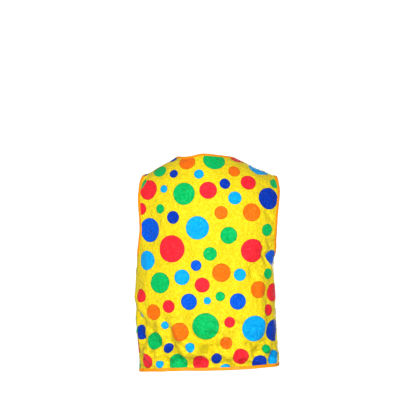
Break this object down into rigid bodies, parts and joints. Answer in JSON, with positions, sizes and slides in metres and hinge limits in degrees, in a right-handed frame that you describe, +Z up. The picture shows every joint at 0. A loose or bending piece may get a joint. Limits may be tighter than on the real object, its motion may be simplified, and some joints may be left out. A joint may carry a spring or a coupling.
{
  "type": "clown waistcoat",
  "caption": "Sleeveless, collarless costume waistcoat in bright spotted satin with taped edges, open at the front, kept in the form it has when worn.",
  "frame": {"origin": "between the two neck points, at the height where the wearer's shoulders carry the cloth", "axes": "+Z up along the wearer's trunk, +X to the wearer's left, +Y to the wearer's back; the front opening faces -Y"},
  "size_m": [0.4341, 0.244, 0.6524],
  "materials": {
    "spotted_satin": "polyester satin, yellow ground with printed spots, soft sheen",
    "bias_tape": "orange-yellow satin bias tape, soft sheen"
  },
  "bodies": {
    "root": {"back": "spotted_satin", "front_left": "spotted_satin", "front_right": "spotted_satin", "tape_armhole_left": "bias_tape", "tape_armhole_right": "bias_tape", "tape_outer_edge": "bias_tape"}
  },
  "joints": []
}
